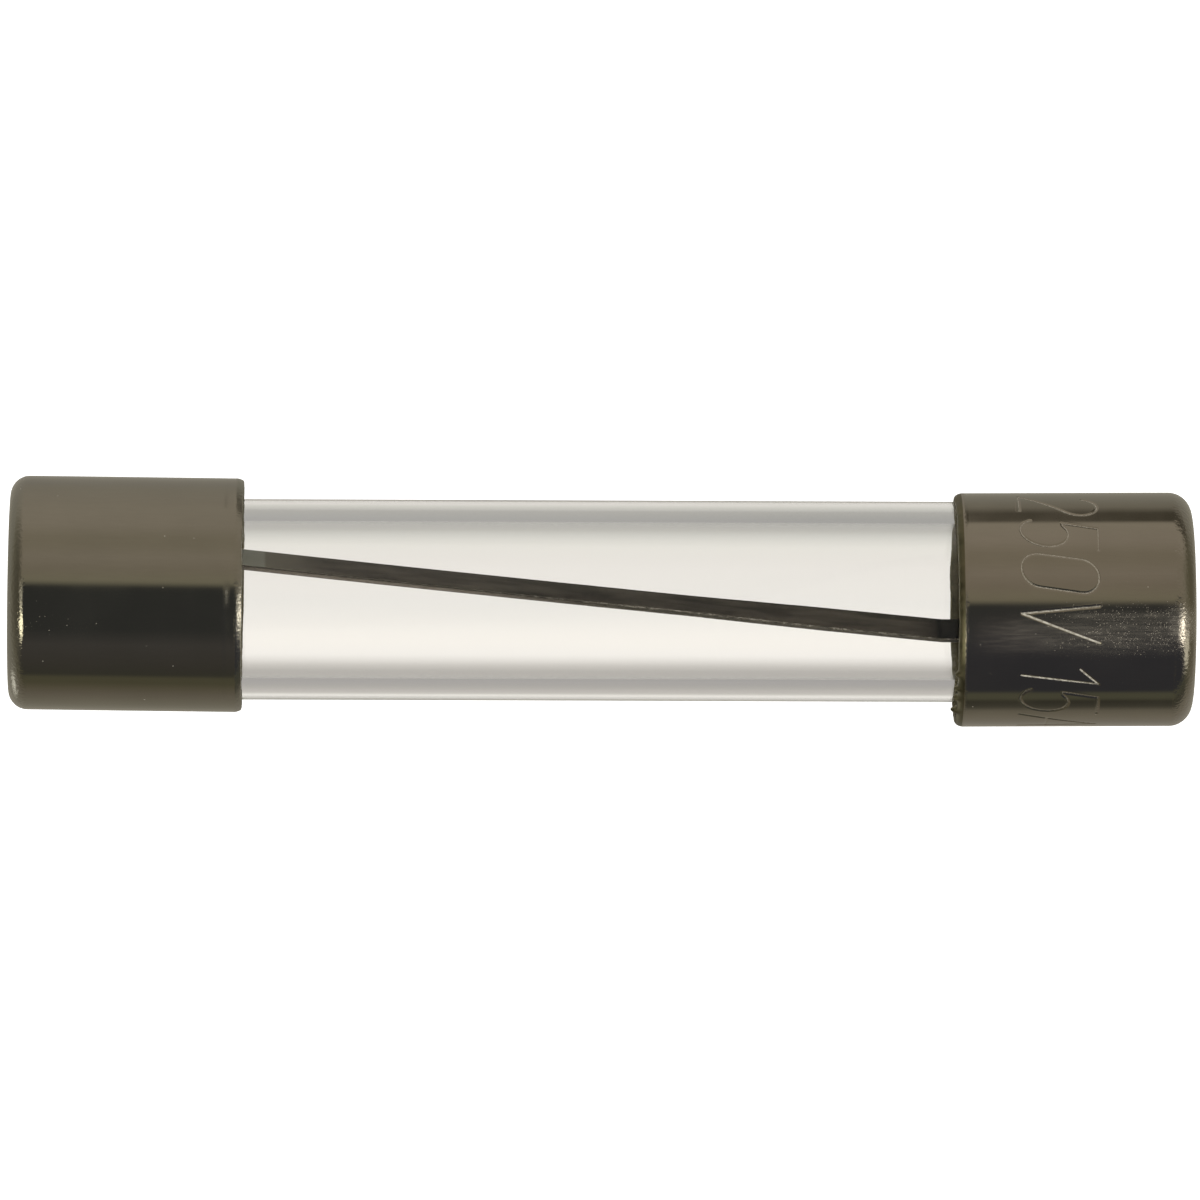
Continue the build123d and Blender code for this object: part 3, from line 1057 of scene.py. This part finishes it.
def studio_world():
    """The room: lit on the +Y side, dark on the -Y side, with a bright sheet straight below the glass."""
    world = bpy.data.worlds.new("studio")
    world.use_nodes = True
    nodes, links = world.node_tree.nodes, world.node_tree.links
    direction = nodes.new("ShaderNodeTexCoord").outputs["Generated"]
    way = split(nodes, links, direction)
    x = way["X"]
    turn = math_node(nodes, links, "ARCTAN2", way["Y"], way["Z"])
    share = span(nodes, links, turn, -math.pi, math.pi, smooth=False)
    height = span(nodes, links, way["Z"], -1.0, 1.0, smooth=False)

    # Each half of the room has its own sides, and its own far end
    left = ramp(nodes, links, share, turn_stops(MIRRORED_LEFT))
    left_end = ramp(nodes, links, height, height_stops(LEFT_END))
    left = mix_colours(nodes, links, span(nodes, links, x, -0.3, -0.85), left, left_end)
    right = ramp(nodes, links, share, turn_stops(MIRRORED_RIGHT))
    right_end = ramp(nodes, links, height, height_stops(RIGHT_END))
    right = mix_colours(nodes, links, span(nodes, links, x, 0.6, 0.95), right, right_end)
    mirrored = mix_colours(nodes, links, span(nodes, links, x, 0.015, 0.035), left, right)
    for glow_direction, reach, colour in GLOWS:
        light = glow(nodes, links, direction, glow_direction, reach, colour)
        mirrored = mix_colours(nodes, links, 1.0, mirrored, light, "ADD")
    through = ramp(nodes, links, share, turn_stops(THROUGH_GLASS))
    lean = math_node(nodes, links, "ABSOLUTE", x)
    through = mix_colours(nodes, links, span(nodes, links, lean, 0.4, 0.6), through, (0.82, 0.81, 0.78))

    rays = nodes.new("ShaderNodeLightPath")
    seen = mix_colours(nodes, links, rays.outputs["Is Transmission Ray"], mirrored, through)
    soft = math_node(nodes, links, "MAXIMUM", rays.outputs["Is Camera Ray"], rays.outputs["Is Diffuse Ray"])
    seen = mix_colours(nodes, links, soft, seen, (0.9, 0.9, 0.89))
    links.new(seen, nodes["Background"].inputs["Color"])
    bpy.context.scene.world = world


def stage():
    """The floor, the room and one large weak softbox overhead for the pieces' own shading."""
    floor()
    studio_world()
    softbox("softbox", (-0.3, 0.8, 0.9), 0.6, 0.3, 0.08, (1.0, 0.97, 0.92))


def camera():
    """A long lens high above the fuse, a little to the left of its middle."""
    position = Vector((-6.4 * MM, 0.0, 370 * MM))
    aim = Vector((0.007 * MM, 0.016 * MM, 0))
    field = 32.35 * MM
    roll = math.radians(0.21)
    data = bpy.data.cameras.new("camera")
    sight = bpy.data.objects.new("camera", data)
    bpy.context.scene.collection.objects.link(sight)
    sight.location = position
    look = aim - position
    data.sensor_width = 36
    data.lens = data.sensor_width * look.length / field
    back = -look.normalized()
    right = Vector((0, 1, 0)).cross(back).normalized()
    top = back.cross(right)
    turned_right = right * math.cos(roll) + top * math.sin(roll)
    turned_top = top * math.cos(roll) - right * math.sin(roll)
    rotation = Matrix((turned_right, turned_top, back)).transposed()
    sight.rotation_mode = "QUATERNION"
    sight.rotation_quaternion = rotation.to_quaternion()
    bpy.context.scene.camera = sight


left_cap()
right_cap()
glass_tube()
fuse_strip()
finish_cad_nodes()
stage()
camera()

scene = bpy.context.scene
scene.view_settings.view_transform = "Standard"
scene.cycles.max_bounces = 24
scene.cycles.transmission_bounces = 16
scene.cycles.glossy_bounces = 8
